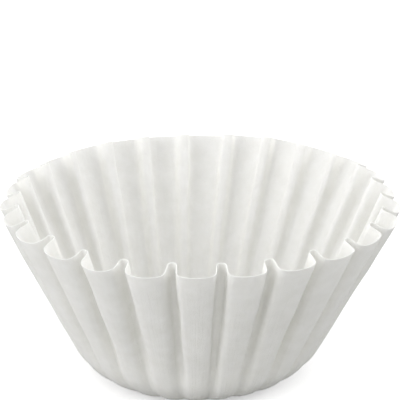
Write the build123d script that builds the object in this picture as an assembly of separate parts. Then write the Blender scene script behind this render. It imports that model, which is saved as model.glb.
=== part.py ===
from build123d import *
import os
from math import cos, pi, radians, sin, tan

# A basket coffee filter: one disc of paper, pressed into a flat-floored cup with a fluted wall.
# The disc's middle stays flat as the floor. Round it the paper turns up through a rounded corner
# and leans outwards as the wall. A ring of the wall is shorter round the cup than it was on the
# flat disc, and the spare paper stands in flutes: broad flat-faced lobes outside, narrow folds
# inside, and a flank between them that widens with the spare. The creases are crisp at the floor
# and open towards the rim into rounded edges, each a fan of narrow flat facets.
# Origin: the middle of the floor's underside, +Z up, with the middle of one lobe on -Y.

# Driving dimensions, in millimetres and degrees
blank_diameter = 210.0
paper_thickness = 0.2
floor_diameter = 50.0
corner_radius = 21.0
wall_lean = 24.0
flute_count = 26
fold_share = 0.18
fold_rise = 3.0
lobe_edge_radius = 2.6
lobe_edge_facets = 5
fold_edge_radius = 1.0
fold_edge_facets = 3

# Values that follow from them. A bearing is measured round the cup from -Y, in radians.
lean = radians(wall_lean)
floor_radius = floor_diameter / 2
blank_radius = blank_diameter / 2
corner_turn = pi / 2 - lean
wall_start = floor_radius + corner_radius * corner_turn
wall_length = blank_radius - wall_start
half_pitch = pi / flute_count
crease_bearing = (1 - fold_share) * half_pitch

# Directions that several faces share
across_lobe = Vector(1, 0, 0)
across_fold = Vector(cos(half_pitch), sin(half_pitch), 0)
crease_out = Vector(sin(crease_bearing), -cos(crease_bearing), 0)
crease_side = Vector(cos(crease_bearing), sin(crease_bearing), 0)
up = Vector(0, 0, 1)


def bezier_handle(turn):
    """Length of a cubic curve's handles, in radii, for an arc that turns this far."""
    return 4 / 3 * tan(turn / 4)


def in_crease_plane(radius, height, inset):
    """A point of a lobe's flank. The flank stands in a plane through the cup's axis."""
    return crease_out * radius + up * height - crease_side * inset


def mirrored(point):
    """The same point on the lobe's other flank."""
    return Vector(-point.X, point.Y, point.Z)


def over_fold(point):
    """The point mirrored across the fold, on the next lobe's flank."""
    return mirrored(point).rotate(Axis.Z, 360 / flute_count)


def flank_ends(blank_ring, inset):
    """The flank's two ends, at the lobe and at the fold, on the blank's ring of this radius.

    The flank takes the ring's spare length, and what the rounded edges save by cutting corners.
    """
    up_wall = blank_ring - wall_start
    radius = floor_radius + corner_radius * sin(corner_turn) + up_wall * sin(lean)
    height = corner_radius * (1 - cos(corner_turn)) + up_wall * cos(lean)
    spare = (blank_ring - radius) * half_pitch
    saved = (2 - pi / 2) * (lobe_edge_radius + fold_edge_radius) * up_wall / wall_length
    half_width = (spare + saved) / 2
    ends = []
    for out in (half_width - inset, -half_width - inset):
        ends.append(in_crease_plane(radius + out * cos(lean), height - out * sin(lean), inset))
    return ends


def corner_crease(corner_top, rim, rise, inset):
    """Control points of a crease round the bottom corner, from the floor's edge to the wall."""
    reach = bezier_handle(corner_turn) * (corner_radius - inset)
    start = in_crease_plane(floor_radius, inset, inset)
    return [
        start,
        start + crease_out * reach * cos(rise) + up * reach * sin(rise),
        corner_top - (rim - corner_top) * (reach / wall_length),
        corner_top,
    ]


def rounded_edge(corner, direction_in, direction_out, radius, facets):
    """Points along an arc that rounds a corner between two directions, one facet apart."""
    turn = radians(direction_in.get_angle(direction_out))
    start = corner - direction_in * radius * tan(turn / 2)
    to_centre = (direction_out - direction_in * cos(turn)) / sin(turn)
    points = []
    for step in range(facets + 1):
        angle = turn * step / facets
        along = direction_in * radius * sin(angle)
        points.append(start + along + to_centre * radius * (1 - cos(angle)))
    return points


class PaperFace:
    """The curves that bound the panels of one half flute, on one face of the paper.

    The inset is 0 on the paper's outer face and the paper's thickness on its inner face.
    """

    def __init__(self, inset):
        self.lobe_foot, self.fold_foot = flank_ends(wall_start, inset)
        lobe_rim, fold_rim = flank_ends(blank_radius, inset)
        self.lobe_corner = corner_crease(self.lobe_foot, lobe_rim, 0, inset)
        self.fold_corner = corner_crease(self.fold_foot, fold_rim, radians(fold_rise), inset)
        inwards = (fold_rim - lobe_rim).normalized()
        self.lobe_edge = rounded_edge(
            lobe_rim, across_lobe, inwards, lobe_edge_radius - inset, lobe_edge_facets
        )
        self.fold_edge = rounded_edge(
            fold_rim, inwards, across_fold, fold_edge_radius + inset, fold_edge_facets
        )

    def flank(self):
        """The flat flank, from a point at the floor's edge up to the rim."""
        return Face(
            Wire(
                [
                    Edge.make_bezier(*self.lobe_corner),
                    Edge.make_line(self.lobe_foot, self.lobe_edge[-1]),
                    Edge.make_line(self.lobe_edge[-1], self.fold_edge[0]),
                    Edge.make_line(self.fold_edge[0], self.fold_foot),
                    Edge.make_bezier(*self.fold_corner),
                ]
            )
        )

    def rounded_edges(self):
        """The fans of facets into which the two creases open, each from its foot to the rim."""
        facets = []
        for foot, edge in ((self.lobe_foot, self.lobe_edge), (self.fold_foot, self.fold_edge)):
            for left, right in zip(edge, edge[1:]):
                facets.append(Face(Wire.make_polygon([foot, left, right])))
        return facets

    def middles(self):
        """The panels that cross the lobe's middle and the fold's middle, corner and wall."""
        lobe_rim = self.lobe_edge[0]
        fold_rim = self.fold_edge[-1]
        return [
            Face.make_bezier_surface([[mirrored(p), p] for p in self.lobe_corner]),
            Face.make_bezier_surface([[mirrored(p), p] for p in (self.lobe_foot, lobe_rim)]),
            Face.make_bezier_surface([[p, over_fold(p)] for p in self.fold_corner]),
            Face.make_bezier_surface([[p, over_fold(p)] for p in (self.fold_foot, fold_rim)]),
        ]

    def floor(self):
        """The flat floor, with a corner at the foot of every flank."""
        right = self.lobe_corner[0]
        step = 360 / flute_count
        corners = []
        for flute in range(flute_count):
            corners.append(mirrored(right).rotate(Axis.Z, step * flute))
            corners.append(right.rotate(Axis.Z, step * flute))
        return Face(Wire.make_polygon(corners))


def rim_strips(outer, inner):
    """The paper's cut edge along half a flute, then across the lobe's and the fold's middles."""
    outer_edge = outer.lobe_edge + outer.fold_edge
    inner_edge = inner.lobe_edge + inner.fold_edge
    pairs = list(zip(outer_edge, inner_edge))
    halves = [Face.make_bezier_surface([left, right]) for left, right in zip(pairs, pairs[1:])]
    middles = [
        Face.make_bezier_surface([[mirrored(p), p] for p in pairs[0]]),
        Face.make_bezier_surface([[p, over_fold(p)] for p in pairs[-1]]),
    ]
    return halves, middles


def filter_paper():
    """The pressed sheet: two fluted faces a paper's thickness apart, joined round the rim."""
    outer = PaperFace(0)
    inner = PaperFace(paper_thickness)
    halves, middles = rim_strips(outer, inner)
    for side in (outer, inner):
        halves += [side.flank()] + side.rounded_edges()
        middles += side.middles()
    flute = halves + [half.mirror(Plane.YZ) for half in halves] + middles
    step = 360 / flute_count
    faces = [face.rotate(Axis.Z, step * n) for n in range(flute_count) for face in flute]
    return Solid(Shell(faces + [outer.floor(), inner.floor()]))


os.makedirs("parts", exist_ok=True)
export_step(filter_paper(), "parts/filter.step")
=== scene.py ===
from collections import namedtuple
from math import cos, pi, radians, sin

import bpy
import numpy as np
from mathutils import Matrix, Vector, noise


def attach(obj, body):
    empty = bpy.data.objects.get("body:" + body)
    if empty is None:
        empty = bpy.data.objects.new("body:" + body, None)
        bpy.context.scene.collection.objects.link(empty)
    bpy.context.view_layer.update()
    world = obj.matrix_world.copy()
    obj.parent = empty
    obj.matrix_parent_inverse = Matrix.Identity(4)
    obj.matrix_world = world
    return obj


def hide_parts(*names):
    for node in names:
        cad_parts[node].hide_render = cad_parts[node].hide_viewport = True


# One basket coffee filter of creped white paper, alone on a pale floor.
# A point of the sheet is named by its place on the flat blank: its ring, the distance from the
# blank's middle, and its flat bearing. Its bearing on the cup is measured round the cup. Both
# bearings start at -Y and grow towards +X. Lengths are in millimetres until a mesh is made.

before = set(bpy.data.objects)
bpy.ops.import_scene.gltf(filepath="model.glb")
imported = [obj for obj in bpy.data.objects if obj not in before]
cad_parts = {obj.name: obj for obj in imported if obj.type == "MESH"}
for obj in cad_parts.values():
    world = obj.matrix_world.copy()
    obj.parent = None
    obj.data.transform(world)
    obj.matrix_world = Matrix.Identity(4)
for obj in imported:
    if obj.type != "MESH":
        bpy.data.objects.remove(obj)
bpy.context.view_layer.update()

MM = 0.001

# The pressed sheet, as in the solid
blank_radius = 105.0
paper_thickness = 0.2
floor_radius = 25.0
corner_radius = 21.0
lean = radians(24.0)
flute_count = 26

# What follows from it, with half a flute's spare paper at the rim
corner_turn = pi / 2 - lean
wall_start = floor_radius + corner_radius * corner_turn
wall_length = blank_radius - wall_start
rim_radius = floor_radius + corner_radius * sin(corner_turn) + wall_length * sin(lean)
spare_at_rim = (blank_radius - rim_radius) * (pi / flute_count)

# How the wall hangs: the shift of the floor and of the rim towards +X, the share of its height
# that it keeps, and how far the creases have turned at the floor
floor_shift = -1.2
rim_shift = 0.2
settling = 0.997
twist = radians(1.4)

# The lobes at the front, by number from the one at -Y: the bearings of the left and right edges
# at the rim, in degrees, how far the rim stands out, and the paper in each rounded edge
Lobe = namedtuple("Lobe", "left right stand left_edge right_edge")
seen_lobes = {
    -6: Lobe(-90.5, -80.6, -0.2, 4.4, 5.2),
    -5: Lobe(-77.8, -68.2, 0.0, 4.6, 6.2),
    -4: Lobe(-65.6, -52.2, -0.3, 5.2, 7.6),
    -3: Lobe(-49.6, -37.4, 0.2, 5.0, 7.2),
    -2: Lobe(-34.8, -23.8, 0.9, 4.8, 6.6),
    -1: Lobe(-21.4, -9.4, 0.6, 4.6, 5.4),
    0: Lobe(-7.2, 4.8, -0.45, 4.6, 4.8),
    1: Lobe(7.3, 19.0, -0.3, 4.4, 4.2),
    2: Lobe(21.6, 33.9, 0.0, 4.8, 3.4),
    3: Lobe(36.4, 49.0, -0.6, 5.8, 2.8),
    4: Lobe(51.4, 62.8, -0.6, 5.8, 2.6),
    5: Lobe(65.2, 76.4, 0.2, 5.2, 2.8),
    6: Lobe(78.8, 89.0, 0.0, 4.2, 3.0),
    7: Lobe(91.4, 102.0, -1.4, 3.6, 3.6),
}

# The lobes at the back: the width of a lobe and of a fold in degrees and the paper in an edge,
# each with the least and most that chance makes of it, and how far the rim stands out
lobe_width = 10.9
lobe_width_spread = (0.92, 1.08)
fold_width = 2.9
fold_width_spread = (0.75, 1.3)
back_edge = 3.6
back_edge_spread = (0.85, 1.2)
back_stand_spread = (-1.2, 0.1)
lobe_seed = 11

# The paper that rounds a fold, and the largest share of the fold's width that it may take
fold_edge = 2.9
fold_edge_share = 0.9

# How far a rounded edge reaches round the cup, as a share of its paper
edge_reach = 0.6055

# The share of the flank's turn that a lobe's crown already has at its edge
crown_turn = 0.16

# The share of a flute's depth that stands outside the mean wall at the rim, and the factor on the
# way up by which that share is reached a little below the rim
crown_share_at_rim = 0.44
crown_growth = 1.05

# How far a flute's rounded edges have spread over its flats by the floor, from none at the rim
softening = 0.6

# How far the creped paper was drawn out between the floor and the rim, at most
give = 0.06

# A sideways bow of the creases at the left, greatest a third of the way from the floor to the rim
bow = radians(-2.2)
bow_bearing = radians(-45)
bow_width = radians(24)
bow_power = 0.65

# How unevenly the disc was cut: the largest step of its edge, and the edge between two steps
cut_step = 0.7
cut_length = 22.0
cut_seed = 2

# How a lobe's stand-out and the uneven cut fade from the rim down the wall
stand_power = 1.5
cut_power = 4

# The unevenness of handled paper: how far wide and fine dents move the sheet, their size, and
# the paper outside the floor over which they begin
wide_dent = 0.35
wide_dent_size = 17.0
fine_dent = 0.14
fine_dent_size = (5.0, 5.0, 9.0)
fine_dent_seed = Vector((40, 0, 0))
dent_start = 30.0

# The mesh: rings up the corner and the wall, columns across each stretch of half a flute, steps
# between two columns, the step between the floor's rings, the radius that they stop at, and the
# angle from which an edge is shaded sharp
corner_rings = 14
wall_rings = 36
stretch_columns = (4, 5, 2, 4, 1)
samples = 6
floor_ring_step = 3.5
floor_middle = 6.0
sharp_angle = radians(60)

# The search for a flank's turn: the most that it can be, in radians, how often the range is
# halved, and the least depth that a flute is taken to have
most_turn = 2.0
halvings = 30
least_depth = 1e-9


def smooth_step(t):
    t = np.clip(t, 0, 1)
    return t * t * (3 - 2 * t)


def profile(ring):
    """Radius and height of the mean wall, and how far it has turned up, on each ring."""
    turn = np.clip((ring - floor_radius) / corner_radius, 0, corner_turn)
    up_wall = np.maximum(ring - wall_start, 0)
    radius = floor_radius + corner_radius * np.sin(turn) + up_wall * sin(lean)
    height = corner_radius * (1 - np.cos(turn)) + up_wall * cos(lean)
    return radius, height, turn


def make_lobes():
    """All lobes in order round the cup, with their bearings in radians."""
    chance = np.random.default_rng(lobe_seed)
    lobes = [seen_lobes[number] for number in sorted(seen_lobes)]
    others = flute_count - len(lobes)
    widths = lobe_width * chance.uniform(*lobe_width_spread, others)
    gaps = fold_width * chance.uniform(*fold_width_spread, others + 1)
    right = lobes[-1].right
    stretch = (lobes[0].left + 360 - right) / (widths.sum() + gaps.sum())
    for width, gap in zip(widths * stretch, gaps * stretch):
        left = right + gap
        right = left + width
        stand = chance.uniform(*back_stand_spread)
        edge = back_edge * chance.uniform(*back_edge_spread)
        lobes.append(Lobe(left, right, stand, edge, edge))
    return [lobe._replace(left=radians(lobe.left), right=radians(lobe.right)) for lobe in lobes]


class HalfFlute:
    """The paper from a lobe's middle to the middle of the fold on one side of it.

    On each ring it is a curve whose direction turns inwards over the lobe's rounded edge, holds
    down the flank and turns back in the fold. How steep the flank is on a ring follows from the
    ring's paper and the room that it has round the cup.
    """

    def __init__(self, side, middle, edge, fold, edge_paper):
        """The side is -1 at the left and 1 at the right. The next three are bearings."""
        self.side = side
        self.middle = middle
        self.room_at_rim = abs(fold - middle)
        room = self.room_at_rim * rim_radius
        gap = abs(fold - edge) * rim_radius
        fold_paper = min(fold_edge, fold_edge_share * gap / edge_reach)
        crown = (room - gap) - edge_paper * edge_reach
        fold_floor = gap - fold_paper * edge_reach
        paper = room + spare_at_rim
        flank = paper - crown - edge_paper - fold_paper - fold_floor
        self.flat_room = paper / blank_radius
        self.ends = np.cumsum([crown, edge_paper, flank, fold_paper, fold_floor]) / paper
        starts = np.concatenate([[0], self.ends[:-1]])
        stretches = zip(starts, self.ends, stretch_columns)
        lines = [np.linspace(start, end, count, endpoint=False) for start, end, count in stretches]
        self.columns = np.append(np.concatenate(lines), 1.0)

    def steepness(self, place, soft):
        """The direction at each share of the paper, as a part of the flank's full turn."""
        crown, edge, flank, fold_end, _ = self.ends
        middle = (edge + flank) / 2
        crown = crown * (1 - soft)
        edge = edge + (middle - edge) * soft
        flank = flank + (middle - flank) * soft
        fold_end = fold_end + (1 - fold_end) * soft
        bulge = crown_turn * (1 - soft) * np.minimum(place / crown, 1)
        rise = smooth_step((place - crown) / (edge - crown))
        fall = smooth_step((place - flank) / (fold_end - flank))
        return (bulge + (1 - crown_turn * (1 - soft)) * rise) * (1 - fall)

    def curve(self, ring, radius, up):
        """Distance along the cup and depth below the crown of each column, on each ring."""
        length = (ring * self.flat_room * (1 + give * np.sin(pi * up) ** 2))[:, None]
        reach = (self.flat_room + (self.room_at_rim - self.flat_room) * up) * radius
        widths = np.diff(self.columns)
        inside = (np.arange(samples) + 0.5) / samples
        place = (self.columns[:-1, None] + widths[:, None] * inside).ravel()
        step = np.repeat(widths / samples, samples)[None, :]
        part = self.steepness(place[None, :], softening * (1 - up)[:, None])
        low, high = np.zeros_like(ring), np.full_like(ring, most_turn)
        for _ in range(halvings):
            turn = (low + high) / 2
            too_wide = (np.cos(turn[:, None] * part) * step * length).sum(1) > reach
            low = np.where(too_wide, turn, low)
            high = np.where(too_wide, high, turn)
        along = np.cos(low[:, None] * part) * step * length
        down = np.sin(low[:, None] * part) * step * length
        shape = (len(ring), len(widths), samples)
        along = np.cumsum(along.reshape(shape).sum(2), 1)
        down = np.cumsum(down.reshape(shape).sum(2), 1)
        zero = np.zeros((len(ring), 1))
        along = np.hstack([zero, along * (reach / along[:, -1])[:, None]])
        return along, np.hstack([zero, down])


def make_halves(lobes):
    """Both halves of every flute, in order round the cup, with the rim's stand-out at their ends."""
    halves, stands = [], []
    for index, lobe in enumerate(lobes):
        earlier = lobes[index - 1]
        later = lobes[(index + 1) % flute_count]
        before = (lobe.left + earlier.right - (2 * pi if earlier.right > lobe.right else 0)) / 2
        after = (lobe.right + later.left + (2 * pi if later.left < lobe.left else 0)) / 2
        middle = (lobe.left + lobe.right) / 2
        halves.append(HalfFlute(-1, middle, lobe.left, before, lobe.left_edge))
        halves.append(HalfFlute(1, middle, lobe.right, after, lobe.right_edge))
        for neighbour in (earlier, later):
            stands.append((lobe.stand, (lobe.stand + neighbour.stand) / 2))
    return halves, stands


def lobe_bearings(halves):
    """Each lobe's flat bearing, once for each half, on average turned by the twist from the rim's."""
    flat_middles = np.cumsum([half.flat_room for half in halves])[::2]
    middles = np.array([half.middle for half in halves[::2]])
    return np.repeat(flat_middles + (np.mean(middles - flat_middles) + twist), 2)


def crowns_and_folds(depths, up):
    """How far each half's crown and fold stand outside the mean wall, the same from both sides."""
    crown_share = crown_share_at_rim * smooth_step(crown_growth * up)
    crowns = crown_share * (depths[0::2] + depths[1::2]) / 2
    folds_after = (crown_share - 1) * (depths[1::2] + np.roll(depths[0::2], -1, 0)) / 2
    folds_before = np.roll(folds_after, 1, 0)
    folds = np.stack([folds_before, folds_after], 1).reshape(depths.shape)
    return np.repeat(crowns, 2, 0)[..., None], folds[..., None]


def bowed(bearing, up):
    """The bearings with the sideways bow of the creases at the left."""
    turned = (bearing + pi) % (2 * pi) - pi
    most = bow * np.exp(-(((turned - bow_bearing) / bow_width) ** 2))
    return bearing + most * np.sin(pi * up ** bow_power)[:, None] ** 2


def cut_edge(flat):
    """How much further or less far than the blank's radius the disc was cut, on each column."""
    places = [Vector((sin(b), cos(b), cut_seed)) * blank_radius / cut_length for b in flat]
    return cut_step * np.array([noise.noise(place) for place in places])


def wall_grid():
    """Rings, flat bearings and places of the paper's outer face, from the floor's edge up."""
    corner = floor_radius + (wall_start - floor_radius) * np.arange(corner_rings) / corner_rings
    wall = wall_start + wall_length * np.arange(wall_rings + 1) / wall_rings
    ring = np.concatenate([corner, wall])
    radius, height, turn = profile(ring)
    up = (ring - floor_radius) / (blank_radius - floor_radius)
    up_wall = np.clip((ring - wall_start) / wall_length, 0, 1)

    halves, stand_ends = make_halves(make_lobes())
    curves = [half.curve(ring, radius, up) for half in halves]
    crowns, folds = crowns_and_folds(np.stack([down[:, -1] for _, down in curves]), up)
    flat_bearings, bearings, outs, stands = [], [], [], []
    rows = zip(halves, curves, lobe_bearings(halves), crowns, folds, stand_ends)
    for half, (along, down), flat_middle, crown, fold, (crown_stand, fold_stand) in rows:
        middle = flat_middle + (half.middle - flat_middle) * up
        depth = np.maximum(down[:, -1:], least_depth)
        keep = slice(None, 0, -1) if half.side < 0 else slice(None, -1)
        flat_bearings.append((flat_middle + half.side * half.columns * half.flat_room)[keep])
        bearings.append((middle[:, None] + half.side * along / radius[:, None])[:, keep])
        outs.append((crown + (fold - crown) * down / depth)[:, keep])
        stands.append(np.linspace(crown_stand, fold_stand, len(half.columns))[keep])

    flat = np.concatenate(flat_bearings)
    bearing = bowed(np.concatenate(bearings, 1), up)
    out = np.concatenate(outs, 1)
    stand = np.concatenate(stands)[None, :] * (up_wall ** stand_power)[:, None]
    longer = cut_edge(flat)[None, :] * (up_wall ** cut_power)[:, None]
    reach = radius[:, None] + stand + out * np.sin(turn)[:, None] + longer * sin(lean)
    level = (height[:, None] - out * np.cos(turn)[:, None]) * settling + longer * cos(lean)
    x = reach * np.sin(bearing) + floor_shift + (rim_shift - floor_shift) * (level / height[-1])
    y = -reach * np.cos(bearing)
    return ring, flat, np.stack([x, y, level], -1)


def grid_normals(points):
    """Unit normals of a grid that closes on itself along its columns, pointing outwards."""
    along = np.roll(points, -1, 1) - np.roll(points, 1, 1)
    up = np.gradient(points, axis=0)
    normal = np.cross(along, up)
    return normal / np.linalg.norm(normal, axis=-1, keepdims=True)


def crumple(points, ring):
    """The soft unevenness of handled paper: the sheet moved in and out by smooth noise."""
    normals = grid_normals(points)
    moved = points.copy()
    strength = smooth_step((ring - floor_radius) / dent_start)
    for i, j in np.ndindex(points.shape[:2]):
        place = Vector(points[i, j])
        wide = noise.noise(place / wide_dent_size)
        scaled = Vector([value / size for value, size in zip(place, fine_dent_size)])
        fine = noise.noise(scaled + fine_dent_seed)
        moved[i, j] += normals[i, j] * (wide_dent * wide + fine_dent * fine) * strength[i]
    moved[..., 2] = np.maximum(moved[..., 2], 0)
    return moved


def floor_rings(edge_count):
    """Vertex counts and radii of the floor's rings, from the outside in."""
    rings = []
    count, radius = edge_count, floor_radius
    while count % 2 == 0 and radius > floor_middle:
        count //= 2
        radius -= floor_ring_step
        rings.append((count, radius))
    return rings


class SheetMesh:
    """Vertices in millimetres, their places on the flat blank, and faces."""

    def __init__(self):
        self.vertices, self.places, self.faces = [], [], []

    def add_vertex(self, point, place):
        self.vertices.append(Vector(point) * MM)
        self.places.append(place)
        return len(self.vertices) - 1

    def add_face(self, corners, flip):
        self.faces.append(corners[::-1] if flip else corners)

    def add_skin(self, points, ring, flat, floor_level, flip):
        """One face of the paper: the wall's grid and the floor inside it. Gives the rim."""
        rows = []
        for row, distance in zip(points, ring):
            places = [(distance * sin(b), -distance * cos(b)) for b in flat]
            rows.append([self.add_vertex(*pair) for pair in zip(row, places)])
        for lower, upper in zip(rows, rows[1:]):
            for j in range(len(flat)):
                k = (j + 1) % len(flat)
                self.add_face([lower[j], lower[k], upper[k], upper[j]], flip)
        self.add_floor(rows[0], flat, floor_level, flip)
        return rows[-1]

    def add_floor(self, edge, flat, level, flip):
        """The flat floor, in rings that each have half the vertices of the one outside."""
        outer = edge
        for count, radius in floor_rings(len(edge)):
            inner = []
            for j in range(count):
                bearing = flat[j * len(edge) // count]
                x, y = radius * sin(bearing), -radius * cos(bearing)
                inner.append(self.add_vertex((x + floor_shift, y, level), (x, y)))
            for j in range(count):
                a, b, c = outer[2 * j], outer[2 * j + 1], outer[(2 * j + 2) % len(outer)]
                p, q = inner[j], inner[(j + 1) % count]
                for face in ([a, p, b], [b, p, q], [b, q, c]):
                    self.add_face(face, flip)
            outer = inner
        self.add_face(outer[::-1], flip)

    def add_rim(self, outer, inner):
        """The paper's cut edge between its two faces."""
        for j in range(len(outer)):
            k = (j + 1) % len(outer)
            self.add_face([outer[j], outer[k], inner[k], inner[j]], False)

    def make(self, name):
        """The mesh, with the places on the flat blank as a UV map in millimetres."""
        mesh = bpy.data.meshes.new(name)
        mesh.from_pydata(self.vertices, [], self.faces)
        blank = mesh.uv_layers.new(name="blank")
        corners = np.zeros(len(mesh.loops), dtype=np.int32)
        mesh.loops.foreach_get("vertex_index", corners)
        blank.uv.foreach_set("vector", np.array(self.places, dtype=np.float32)[corners].ravel())
        mesh.shade_smooth()
        mesh.set_sharp_from_angle(angle=sharp_angle)
        mesh.update()
        return mesh


def filter_mesh():
    """The sheet: its outer face, its inner face a paper's thickness inside, and its rim."""
    ring, flat, grid = wall_grid()
    outer = crumple(grid, ring)
    inner = outer - grid_normals(outer) * paper_thickness
    sheet = SheetMesh()
    outer_rim = sheet.add_skin(outer, ring, flat, 0.0, False)
    inner_rim = sheet.add_skin(inner, ring, flat, paper_thickness, True)
    sheet.add_rim(outer_rim, inner_rim)
    return sheet.make("filter_sheet")


def add_node(tree, kind, inputs=None, **settings):
    """A new node with its settings, its sockets set to constants or linked to other outputs."""
    node = tree.nodes.new(kind)
    for name, value in settings.items():
        setattr(node, name, value)
    for name, value in (inputs or {}).items():
        if isinstance(value, bpy.types.NodeSocket):
            tree.links.new(value, node.inputs[name])
        else:
            node.inputs[name].default_value = value
    return node


def vector_math(tree, operation, *values):
    return add_node(tree, "ShaderNodeVectorMath", dict(enumerate(values)), operation=operation)


def number_math(tree, operation, *values):
    node = add_node(tree, "ShaderNodeMath", dict(enumerate(values)), operation=operation)
    return node.outputs[0]


def mapped(tree, value, results, values=(0.0, 1.0)):
    """The value's place between two values, as a number between two results."""
    inputs = {"Value": value, "From Min": values[0], "From Max": values[1],
              "To Min": results[0], "To Max": results[1]}
    return add_node(tree, "ShaderNodeMapRange", inputs).outputs["Result"]


def paper_noise(tree, place, detail, roughness=0.55):
    values = {"Vector": place, "Scale": 1.0, "Detail": detail, "Roughness": roughness}
    return add_node(tree, "ShaderNodeTexNoise", values).outputs["Fac"]


def stretched(tree, place, factors):
    return vector_math(tree, "MULTIPLY", place, factors).outputs[0]


def press_streaks(tree, place):
    """Streaks that the press left up the wall, along the blank's radii."""
    scale_round = (75.0, 75.0, 1.0)
    scale_along = 0.05
    out = vector_math(tree, "NORMALIZE", place).outputs[0]
    ring = vector_math(tree, "LENGTH", place).outputs["Value"]
    along = number_math(tree, "MULTIPLY", ring, scale_along)
    rise = add_node(tree, "ShaderNodeCombineXYZ", {"Z": along}).outputs[0]
    lines = vector_math(tree, "MULTIPLY_ADD", out, scale_round, rise).outputs[0]
    return paper_noise(tree, lines, detail=2.0)


def paper_material():
    """Creped filter paper, textured by the place on the flat blank, in millimetres."""
    crepe_scale = (0.42, 1.6, 1.0)
    fibre_scale = (3.4, 3.4, 1.0)
    cloud_scale = (0.2, 0.2, 1.0)
    fibre_height = 0.6
    relief = 0.2 * MM
    mottle_range = (0.7, 1.3)
    darker = (0.84, 0.835, 0.787, 1)
    lighter = (0.915, 0.91, 0.875, 1)
    roughness_range = (0.78, 0.92)

    material = bpy.data.materials.new("creped_paper")
    material.use_nodes = True
    tree = material.node_tree
    place = add_node(tree, "ShaderNodeUVMap", uv_map="blank").outputs["UV"]

    # The crepe's fine wavy ridges run one way across the whole blank
    crepe = paper_noise(tree, stretched(tree, place, crepe_scale), detail=5.0, roughness=0.68)
    fibre = paper_noise(tree, stretched(tree, place, fibre_scale), detail=4.0, roughness=0.7)
    cloud = paper_noise(tree, stretched(tree, place, cloud_scale), detail=3.0)
    ridges = number_math(tree, "ADD", crepe, press_streaks(tree, place))
    height = number_math(tree, "MULTIPLY_ADD", fibre, fibre_height, ridges)
    bump = add_node(tree, "ShaderNodeBump", {"Height": height, "Strength": 1.0, "Distance": relief})

    mottle = number_math(tree, "ADD", fibre, cloud)
    shade = mapped(tree, mottle, (0.0, 1.0), mottle_range)
    shades = {"Fac": shade, "Color1": darker, "Color2": lighter}
    colour = add_node(tree, "ShaderNodeMixRGB", shades).outputs["Color"]
    rough = mapped(tree, mottle, roughness_range, mottle_range)

    shader = tree.nodes["Principled BSDF"]
    tree.links.new(colour, shader.inputs["Base Color"])
    tree.links.new(rough, shader.inputs["Roughness"])
    tree.links.new(bump.outputs["Normal"], shader.inputs["Normal"])
    shader.inputs["Specular IOR Level"].default_value = 0.25

    # Light that falls on one face of the thin paper comes through to the other
    shader.inputs["Subsurface Weight"].default_value = 0.9
    shader.inputs["Subsurface Radius"].default_value = (1.0, 1.0, 0.95)
    shader.inputs["Subsurface Scale"].default_value = 0.9 * MM
    return material


def make_filter():
    piece = bpy.data.objects.new("filter_sheet", filter_mesh())
    bpy.context.scene.collection.objects.link(piece)
    piece.data.materials.append(paper_material())
    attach(piece, "root")
    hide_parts("filter")


def floor_material():
    """Matt white with a little glow to the camera, and darker for the light that it sends back."""
    shown_paint = 0.9
    hidden_paint = 0.18
    shown_glow = 0.4
    material = bpy.data.materials.new("white_floor")
    material.use_nodes = True
    tree = material.node_tree
    to_camera = add_node(tree, "ShaderNodeLightPath").outputs["Is Camera Ray"]
    shader = tree.nodes["Principled BSDF"]
    shader.inputs["Roughness"].default_value = 0.9
    shader.inputs["Specular IOR Level"].default_value = 0.1
    shader.inputs["Emission Color"].default_value = (1, 1, 1, 1)
    paint = mapped(tree, to_camera, (hidden_paint, shown_paint))
    glow = mapped(tree, to_camera, (0.0, shown_glow))
    tree.links.new(paint, shader.inputs["Base Color"])
    tree.links.new(glow, shader.inputs["Emission Strength"])
    return material


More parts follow.
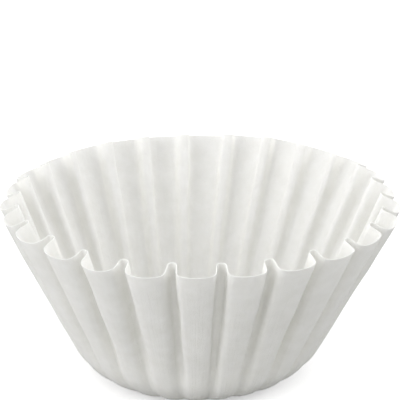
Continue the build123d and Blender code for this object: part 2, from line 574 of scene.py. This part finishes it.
def make_floor():
    half = 3.0
    drop = -0.05 * MM
    corners = [(-half, -half, drop), (half, -half, drop), (half, half, drop), (-half, half, drop)]
    mesh = bpy.data.meshes.new("floor")
    mesh.from_pydata(corners, [], [(0, 1, 2, 3)])
    floor = bpy.data.objects.new("floor", mesh)
    bpy.context.scene.collection.objects.link(floor)
    floor.data.materials.append(floor_material())


def make_world():
    """White where it is seen, directly, mirrored or through something, and soft light elsewhere."""
    soft_light = 0.94
    world = bpy.data.worlds.new("studio")
    bpy.context.scene.world = world
    world.use_nodes = True
    tree = world.node_tree
    rays = add_node(tree, "ShaderNodeLightPath").outputs
    mirrored = number_math(tree, "MAXIMUM", rays["Is Camera Ray"], rays["Is Glossy Ray"])
    shown = number_math(tree, "MAXIMUM", mirrored, rays["Is Transmission Ray"])
    background = tree.nodes["Background"]
    background.inputs["Color"].default_value = (1, 1, 1, 1)
    strength = mapped(tree, shown, (soft_light, 1.0))
    tree.links.new(strength, background.inputs["Strength"])


def make_lamp(name, place, size, power):
    """A round lamp that shines on the middle of the filter. Places are in metres."""
    aim = Vector((0, 0, 0.03))
    light = bpy.data.lights.new(name, "AREA")
    light.shape = "DISK"
    light.size = size
    light.energy = power
    lamp = bpy.data.objects.new(name, light)
    lamp.location = place
    lamp.rotation_euler = (aim - Vector(place)).to_track_quat("-Z", "Y").to_euler()
    bpy.context.scene.collection.objects.link(lamp)


def make_camera():
    """The photograph's view: an unshifted camera, in its 400 pixel square frame."""
    distance = 850 * MM
    elevation = radians(24.95)
    aside = -1.5 * MM
    aim = Vector((0.14, 0, 62.5)) * MM
    focal_pixels = 2384
    frame_pixels = 400
    camera = bpy.data.cameras.new("camera")
    camera.sensor_width = 36
    camera.lens = focal_pixels * camera.sensor_width / frame_pixels
    camera.clip_start = 0.01
    camera.clip_end = 20
    view = bpy.data.objects.new("camera", camera)
    view.location = (aside, -distance * cos(elevation), distance * sin(elevation))
    view.rotation_euler = (aim - view.location).to_track_quat("-Z", "Y").to_euler()
    bpy.context.scene.collection.objects.link(view)
    bpy.context.scene.camera = view


make_filter()
make_floor()
make_world()
make_lamp("left_light", place=(-1.13, -0.85, 0.58), size=1.3, power=11.6)
make_lamp("right_light", place=(1.23, -0.28, 0.7), size=1.0, power=5.8)
make_camera()
bpy.context.scene.view_settings.view_transform = "Standard"
